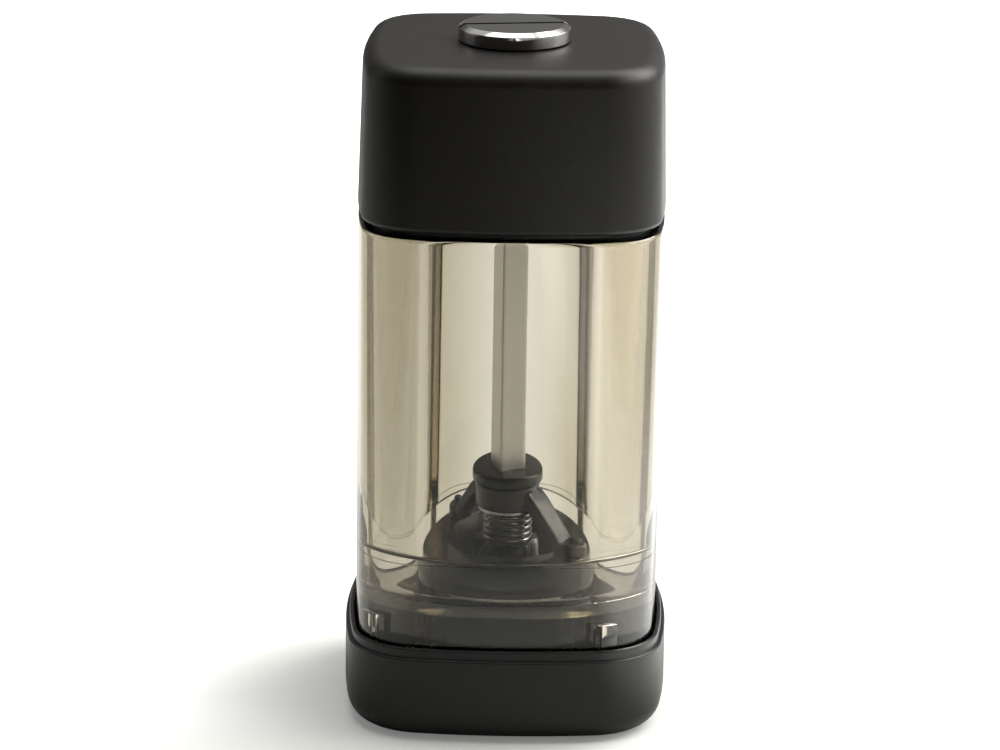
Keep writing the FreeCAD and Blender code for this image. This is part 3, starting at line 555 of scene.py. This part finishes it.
# spider: hub ring and two sloping arms with round feet on the drum's rim, fused and relaxed
# an arm's sections are (radius, z, width, thickness, tilt in radians)
spiderSet = {"bore": 7.3, "radius": 8.9, "low": 40.4, "top": 45.2, "boreEdge": 0.15, "hubEdge": 0.3,
             "rimTop": 34.0, "footRadius": 3.9, "footOut": 23.2, "footTall": 2.2, "footEdge": 0.5,
             "yaw": -38.0, "around": 96, "footAround": 48,
             "arm": ((8.3, 42.9, 7.0, 3.4, 1.1), (10.4, 41.5, 7.4, 3.2, 0.86), (13.4, 38.9, 7.4, 3.1, 0.84),
                     (16.2, 36.5, 7.4, 2.9, 0.8), (17.6, 35.3, 7.4, 2.2, 0.6)),
             "armPoints": 24, "armSquareness": 0.4, "voxel": 0.2, "relax": 0.5, "relaxTurns": 4,
             "flatBand": 0.1}


def makeArm():
    s = spiderSet
    rings = []
    for r, z, wide, thick, tilt in s["arm"]:
        ring = []
        for a in evenBearings(s["armPoints"]):
            c, n = math.cos(a), math.sin(a)
            u = math.copysign(abs(c) ** s["armSquareness"], c) * thick / 2
            v = math.copysign(abs(n) ** s["armSquareness"], n) * wide / 2
            ring.append((r + u * math.cos(tilt), v, z + u * math.sin(tilt)))
        rings.append(ring)
    return addObject("arm", loftMesh("arm", rings, "caps"))


def makeFoot():
    s = spiderSet
    high = s["rimTop"] + s["footTall"]
    profile = [("round", s["footRadius"], s["rimTop"], 0), ("round", s["footRadius"], high, s["footEdge"]),
               ("round", 0.0, high, 0), ("round", 0.0, s["rimTop"], 0)]
    foot = loftPiece("foot", profile, "loop", evenBearings(s["footAround"]))
    foot.data.transform(Matrix.Translation(((s["footOut"] - s["footRadius"]) * mm, 0, 0)))
    return foot


def makeSpider():
    s = spiderSet
    hub = loftPiece("armBridge", [
        ("round", s["bore"], s["low"], s["boreEdge"]), ("round", s["radius"], s["low"], s["hubEdge"]),
        ("round", s["radius"], s["top"], s["hubEdge"]), ("round", s["bore"], s["top"], s["boreEdge"])],
        "loop", evenBearings(s["around"]))
    parts = []
    for k in range(2):
        turn = Matrix.Rotation(math.radians(s["yaw"]) + math.pi * k, 4, "Z")
        for part in (makeArm(), makeFoot()):
            part.data.transform(turn)
            parts.append(part)
    boolean(hub, parts, "UNION")
    hub.modifiers.new("fuse", "REMESH").voxel_size = s["voxel"] * mm
    relax = hub.modifiers.new("relax", "SMOOTH")
    relax.factor, relax.iterations = s["relax"], s["relaxTurns"]
    bakeModifiers(hub)
    level = s["rimTop"] * mm
    for vert in hub.data.vertices:  # feet stay flat on the rim
        if vert.co.z < level + s["flatBand"] * mm:
            vert.co.z = level
    seat(hub, bridgeBlack, "mill", ["spider"], angle=60)


makeSpider()

# drum that holds the burrs, with grooves for the clip outside and the snap ring inside
drumSet = {"outer": 23.4, "spigot": 17.8, "mouth": 16.4, "throat": 15.0, "bore": 16.4, "top": 34.0,
           "plateTop": 27.2, "plateLow": 24.4, "low": 11.6, "burrTop": 22.6, "burrLow": 12.9, "groove": 0.5,
           "clipTall": 1.0, "ringTall": 0.85, "fine": 0.05, "small": 0.1, "boreEdge": 0.2, "edge": 0.3,
           "topEdge": 0.5, "mouthEdge": 0.4, "throatRound": 2.0, "around": 160}


def makeDrum():
    s = drumSet
    fine, small = s["fine"], s["small"]
    clip, ring = s["plateLow"] - s["clipTall"], s["burrLow"] - s["ringTall"]
    outGroove, inGroove = s["spigot"] - s["groove"], s["bore"] + s["groove"]
    profile = [("round", *corner) for corner in (
        (s["bore"], s["low"], s["boreEdge"]), (s["spigot"], s["low"], s["edge"]), (s["spigot"], clip, fine),
        (outGroove, clip, fine), (outGroove, s["plateLow"], fine), (s["spigot"], s["plateLow"], fine),
        (s["spigot"], s["plateTop"], small), (s["outer"], s["plateTop"], s["edge"]),
        (s["outer"], s["top"], s["topEdge"]), (s["mouth"], s["top"], s["mouthEdge"]),
        (s["throat"], s["plateTop"], s["throatRound"]), (s["throat"], s["burrTop"], small),
        (s["bore"], s["burrTop"], small), (s["bore"], s["burrLow"], fine), (inGroove, s["burrLow"], fine),
        (inGroove, ring, fine), (s["bore"], ring, fine))]
    drum = loftPiece("grinderDrum", profile, "loop", evenBearings(s["around"]))
    seat(drum, glossBlack, "mill", ["grinder_drum"])


makeDrum()

# burrs: the radius follows a saw-tooth round the axis; land and lead are shares of a tooth
burrSet = {"low": 12.9, "top": 22.6, "lowRadius": 14.8, "topRadius": 12.6, "gap": 0.5, "outer": 16.3,
           "hole": 7.8, "teeth": 20, "depth": 0.9, "land": 0.25, "lead": 0.55, "rotorTwist": -14.0,
           "rotorRows": 8, "statorTwist": 9.0, "statorRows": 6, "overrun": 1.0, "collar": 23.4,
           "peak": 33.4, "peakRadius": 8.8, "peakEdge": 0.25, "flutes": 6, "fluteDepth": 1.9,
           "fluteLand": 0.35, "fluteLead": 0.7, "fluteTwist": 50.0, "fluteRows": 16, "bearings": 480}
burrBearings = evenBearings(burrSet["bearings"], shaftYaw + math.pi / 4)


def sawTooth(bearing, teeth, land, lead):  # 0 on a tooth's tip, 1 at its root
    share = (bearing * teeth / (2 * math.pi)) % 1.0
    if share <= land:
        return 0.0
    if share <= lead:
        return (share - land) / (lead - land)
    return 1 - (share - lead) / (1 - lead)


def grindRadius(z):
    s = burrSet
    return s["lowRadius"] + (s["topRadius"] - s["lowRadius"]) * (z - s["low"]) / (s["top"] - s["low"])


def toothRing(z, tip, depth, teeth, twist, land, lead, out=False):
    ring = []
    for a in burrBearings:
        saw = sawTooth(a - math.radians(twist), teeth, land, lead)
        r = tip + depth * (1 - saw) if out else tip - depth * saw
        ring.append((r * math.cos(a), r * math.sin(a), z))
    return ring


def makeRotor():
    s = burrSet
    rings = [ringPoints("square", s["hole"], s["low"], burrBearings, shaftYaw)]
    for k in range(s["rotorRows"] + 1):
        share = k / s["rotorRows"]
        z = s["low"] + (s["top"] - s["low"]) * share
        rings.append(toothRing(z, grindRadius(z) - s["gap"], s["depth"], s["teeth"], s["rotorTwist"] * share,
                               s["land"], s["lead"]))
    neck = grindRadius(s["top"]) - s["gap"] - s["depth"]
    rings += [ringPoints("round", neck, z, burrBearings) for z in (s["top"], s["collar"])]
    for k in range(s["fluteRows"] + 1):
        share = k / s["fluteRows"]
        z = s["collar"] + (s["peak"] - s["collar"]) * share
        tip = neck + (s["peakRadius"] - neck) * share - (s["peakEdge"] if k == s["fluteRows"] else 0)
        rings.append(toothRing(z, tip, s["fluteDepth"], s["flutes"], s["fluteTwist"] * share,
                               s["fluteLand"], s["fluteLead"]))
    rings.append(ringPoints("square", s["hole"], s["peak"], burrBearings, shaftYaw))
    rotor = addObject("coneBurr", loftMesh("coneBurr", rings, "loop"))
    seat(rotor, burrSteel, "shaft", ["rotor"], angle=28)


def makeStator():
    s = burrSet
    tall = s["top"] - s["low"]
    rings = [ringPoints("round", s["outer"], z, burrBearings) for z in (s["top"], s["low"])]
    for k in range(s["statorRows"] + 1):
        share = k / s["statorRows"]
        z = s["low"] + tall * share
        twist = s["statorTwist"] * (share * tall + s["overrun"]) / (tall + 2 * s["overrun"])
        rings.append(toothRing(z, grindRadius(z), s["depth"], s["teeth"], twist, s["land"], s["lead"], True))
    stator = addObject("ringBurr", loftMesh("ringBurr", rings, "loop"))
    seat(stator, burrSteel, "mill", ["stator"], angle=28)


makeRotor()
makeStator()

# wound spring between the rotor and the bush
springSet = {"low": 33.45, "tall": 6.1, "radius": 7.1, "wire": 0.72, "turns": 4.5, "perTurn": 64,
             "sides": 14}


def makeSpring():
    s = springSet
    half = s["wire"] / 2
    spring = woundPiece("bushSpring", s["turns"], s["radius"] - half, s["tall"] - s["wire"], half,
                        s["low"] + half, plainSteel, s["perTurn"], s["sides"])
    spring.data.materials.clear()
    spring.data.materials.append(plainSteel)
    smoothShade(spring.data)
    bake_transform(spring)
    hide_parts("spring")


makeSpring()

# screws: one slotted pan head on each point of a circle; a head that rises downward has a rise below 0
screwSet = {
    "spider_screws": {"name": "spiderScrews", "body": "mill", "finish": burrSteel, "count": 2, "circle": 20.7,
                      "yaw": -38.0, "tip": 30.25, "seat": 36.25, "shank": 0.8, "head": 1.3, "rise": 1.0},
    "cap_screws": {"name": "capScrews", "body": "cap", "finish": plainSteel, "count": 4, "circle": 24.749,
                   "yaw": 45.0, "tip": 113.9, "seat": 103.9, "shank": 1.1, "head": 2.3, "rise": -1.8}}
slotSet = {"over": 1.0, "wide": 0.5, "deep": 0.35, "yaw": 25.0, "tipEdge": 0.2, "headEdge": 0.35,
           "around": 28}


def makeScrew(s):
    high = s["seat"] + s["rise"]
    screw = loftPiece("oneScrew", [
        ("round", 0.0, s["tip"], 0), ("round", s["shank"], s["tip"], slotSet["tipEdge"]),
        ("round", s["shank"], s["seat"], 0), ("round", s["head"], s["seat"], 0),
        ("round", s["head"], high, slotSet["headEdge"]), ("round", 0.0, high, 0)],
        "open", evenBearings(slotSet["around"]), steps=3)
    size = (2 * s["head"] + slotSet["over"], slotSet["wide"], 2 * slotSet["deep"])
    boolean(screw, [block("slot", size, (0, 0, high), math.radians(slotSet["yaw"]))], "DIFFERENCE")
    bpy.context.scene.collection.objects.unlink(screw)
    return screw


def makeScrews(node, s):
    amounts = {"Count": s["count"], "Circle": s["circle"] * mm, "Yaw": math.radians(s["yaw"]),
               "Finish": s["finish"]}
    tree, given, ids = nodeTree(node + "Tree", amounts)
    share = figure(tree, "DIVIDE", addNode(tree, "GeometryNodeInputIndex").outputs[0], given["Count"])
    turn = figure(tree, "ADD", figure(tree, "MULTIPLY", share, 2 * math.pi), given["Yaw"])
    x, y = [figure(tree, "MULTIPLY", figure(tree, way, turn), given["Circle"]) for way in ("COSINE", "SINE")]
    place = addNode(tree, "ShaderNodeCombineXYZ", {"X": x, "Y": y})
    spots = addNode(tree, "GeometryNodePoints", {"Count": given["Count"], "Position": place.outputs[0]})
    screw = makeScrew(s)
    shape = addNode(tree, "GeometryNodeObjectInfo", {"Object": screw})
    copies = addNode(tree, "GeometryNodeInstanceOnPoints", {
        "Points": spots.outputs[0], "Instance": shape.outputs["Geometry"]})
    screws = runTree(s["name"], tree, given, ids, copies.outputs[0], amounts)
    seat(screws, s["finish"], s["body"], [node])
    bpy.data.objects.remove(screw)


for node, screws in screwSet.items():
    makeScrews(node, screws)

# pieces that keep their own solids, with better finishes
keptFinish = {"drum_clip": plainSteel, "stator_ring": plainSteel, "bush_clip": plainSteel,
              "rotor_washer": plainSteel, "rotor_screw": plainSteel, "glide_ring": trayBlack,
              "cap_base": trayBlack, "drive_insert": plainSteel, "nut_seat": plainSteel}
for node, finish in keptFinish.items():
    nodes[node].data.materials.clear()
    nodes[node].data.materials.append(finish)
print("pieces ready")

# white floor, in metres: a pair of places is where a level begins and ends to change along an axis; its
# colour is painted darker in front as a painted shadow glow is what the camera sees, dimmed round the base
# and in front as painted shade, through what the clear body shows, gloss what the pieces mirror
floorSet = {"half": 3.0, "rough": 0.8, "specular": 0.1, "tone": 0.85, "frontShadeTone": 0.05,
            "frontShadeToneY": (-0.3, -0.05), "mirror": 0.7, "warm": 0.93, "glowNear": 0.18, "glowFar": 1.0,
            "glowApart": (0.03, 0.098), "frontShadeGlow": 0.6, "frontShadeGlowY": (-0.045, -0.015), "throughLeft": 0.02,
            "throughLeftX": (-0.2, -0.06), "throughRight": 0.3, "throughRightX": (0.06, 0.22),
            "glossRiseX": (0.035, 0.08), "glossFallX": (0.12, 0.3),
            "gloss": {-1: (0.35, 0.0), 1: (2.2, 0.2)}}


def mirroredRay(tree, light):  # 1 on a glossy ray, 0 or less on one that passes through
    return figure(tree, "SUBTRACT", light["Is Glossy Ray"], light["Is Transmission Ray"])


def glossBand(tree, across, side, level, far):
    s = floorSet
    rise, fall = [[side * x for x in s[key]] for key in ("glossRiseX", "glossFallX")]
    return figure(tree, "MULTIPLY", between(tree, across, *rise, 0.0, level),
                  between(tree, across, *fall, 1.0, far))


def makeFloor():
    s = floorSet
    bm = bmesh.new()
    bmesh.ops.create_grid(bm, x_segments=1, y_segments=1, size=s["half"])
    mesh = bpy.data.meshes.new("floor")
    bm.to_mesh(mesh)
    bm.free()
    floor = addObject("floor", mesh)
    material, tree, shader = newFinish("floorWhite", [s["tone"]] * 3, s["rough"],
                                       Specular_IOR_Level=s["specular"], Emission_Color=(1, 1, 1, 1))
    mesh.materials.append(material)
    where = addNode(tree, "ShaderNodeTexCoord").outputs["Object"]
    axes = addNode(tree, "ShaderNodeSeparateXYZ", {0: where}).outputs
    light = addNode(tree, "ShaderNodeLightPath").outputs
    mirrored = mirroredRay(tree, light)
    # painted shadow: the floor's colour falls to the darker front tone in front of the mill, and is darker
    # again in what the pieces mirror
    tone = between(tree, axes["Y"], *s["frontShadeToneY"], s["frontShadeTone"], s["tone"])
    tone = figure(tree, "MULTIPLY", tone, between(tree, mirrored, 0.0, 1.0, 1.0, s["mirror"]))
    blue = figure(tree, "MULTIPLY", tone, s["warm"])
    color = addNode(tree, "ShaderNodeCombineColor", {0: tone, 1: tone, 2: blue})
    tree.links.new(color.outputs[0], shader.inputs["Base Color"])
    apart = addNode(tree, "ShaderNodeVectorMath", {0: where}, operation="LENGTH").outputs["Value"]
    # painted shade: the camera's glow is lower near the base and lower again in front, deepening the lamps'
    # own shadow there
    glow = between(tree, apart, *s["glowApart"], s["glowNear"], s["glowFar"])
    glow = figure(tree, "MULTIPLY", glow, between(tree, axes["Y"], *s["frontShadeGlowY"], s["frontShadeGlow"], 1.0))
    glow = figure(tree, "MULTIPLY", light["Is Camera Ray"], glow)
    through = figure(tree, "MAXIMUM", between(tree, axes["X"], *s["throughLeftX"], s["throughLeft"], 0.0),
                     between(tree, axes["X"], *s["throughRightX"], 0.0, s["throughRight"]))
    through = figure(tree, "MULTIPLY", light["Is Transmission Ray"], through)
    bands = [glossBand(tree, axes["X"], side, *levels) for side, levels in s["gloss"].items()]
    gloss = figure(tree, "MULTIPLY", figure(tree, "MAXIMUM", mirrored, 0.0), figure(tree, "MAXIMUM", *bands))
    strength = figure(tree, "MAXIMUM", figure(tree, "MAXIMUM", glow, through), gloss)
    tree.links.new(strength, shader.inputs["Emission Strength"])


makeFloor()

# studio: levels change along the axes of the direction; what pieces mirror is brighter overhead
worldSet = {"color": (1.0, 0.985, 0.955, 1), "front": 0.04, "back": 0.33, "deepY": (-0.45, 0.5),
            "left": 0.42, "right": 1.3, "sideX": (-0.6, 0.75), "farRight": 2.2, "farRightX": (0.5, 0.95),
            "mirrorLow": 0.7, "mirrorHigh": 4.4, "mirrorZ": (0.36, 0.7)}


def makeWorld():
    s = worldSet
    world = bpy.data.worlds.new("studio")
    bpy.context.scene.world = world
    world.use_nodes = True
    tree = world.node_tree
    sky = tree.nodes["Background"]
    sky.inputs["Color"].default_value = s["color"]
    where = addNode(tree, "ShaderNodeTexCoord").outputs["Generated"]
    axes = addNode(tree, "ShaderNodeSeparateXYZ", {0: where}).outputs
    light = addNode(tree, "ShaderNodeLightPath").outputs
    deep = between(tree, axes["Y"], *s["deepY"], s["front"], s["back"])
    side = between(tree, axes["X"], *s["sideX"], s["left"], s["right"])
    farRight = between(tree, axes["X"], *s["farRightX"], 0.0, s["farRight"])
    level = figure(tree, "MAXIMUM", figure(tree, "MULTIPLY", deep, side), farRight)
    overhead = between(tree, axes["Z"], *s["mirrorZ"], s["mirrorLow"], s["mirrorHigh"])
    gain = between(tree, mirroredRay(tree, light), 0.0, 1.0, 1.0, overhead, "LINEAR")
    level = figure(tree, "MULTIPLY", level, gain)
    tree.links.new(figure(tree, "MAXIMUM", light["Is Camera Ray"], level), sky.inputs["Strength"])


makeWorld()

# lamps as (place in metres, power in watts, size in metres)
lampSet = {"key": ((0.6, 0.28, 0.72), 9.0, 0.7), "top": ((-0.05, 0.1, 0.9), 3.0, 0.6),
           "edge": ((-0.7, 0.2, 0.3), 0.25, 0.4)}
lampAim = Vector((0, 0, 0.07))


def makeLamps():
    for name, (spot, power, size) in lampSet.items():
        lamp = bpy.data.lights.new(name, "AREA")
        lamp.energy, lamp.size = power, size
        holder = bpy.data.objects.new(name, lamp)
        holder.location = spot
        holder.rotation_euler = (lampAim - Vector(spot)).to_track_quat("-Z", "Y").to_euler()
        bpy.context.scene.collection.objects.link(holder)


makeLamps()

# camera fitted to the photograph; angles in degrees
cameraSet = {"distance": 820.19, "rise": 16.44, "aim": 65.65, "sensor": 36.0, "focal": 149.0, "lean": 0.92,
             "shift": -0.0092}


def makeCamera():
    s = cameraSet
    rise = math.radians(s["rise"])
    view = bpy.data.cameras.new("view")
    view.sensor_width, view.lens, view.shift_x = s["sensor"], s["focal"], s["shift"]
    holder = bpy.data.objects.new("view", view)
    aim = Vector((0, 0, s["aim"])) * mm
    back = Vector((0, -math.cos(rise), math.sin(rise)))
    spot = aim + back * s["distance"] * mm
    look = (-back).to_track_quat("-Z", "Y").to_matrix().to_4x4()
    holder.matrix_world = Matrix.Translation(spot) @ look @ Matrix.Rotation(math.radians(s["lean"]), 4, "Z")
    bpy.context.scene.collection.objects.link(holder)
    bpy.context.scene.camera = holder


makeCamera()
bpy.context.scene.view_settings.view_transform = "Standard"
print("stage ready")
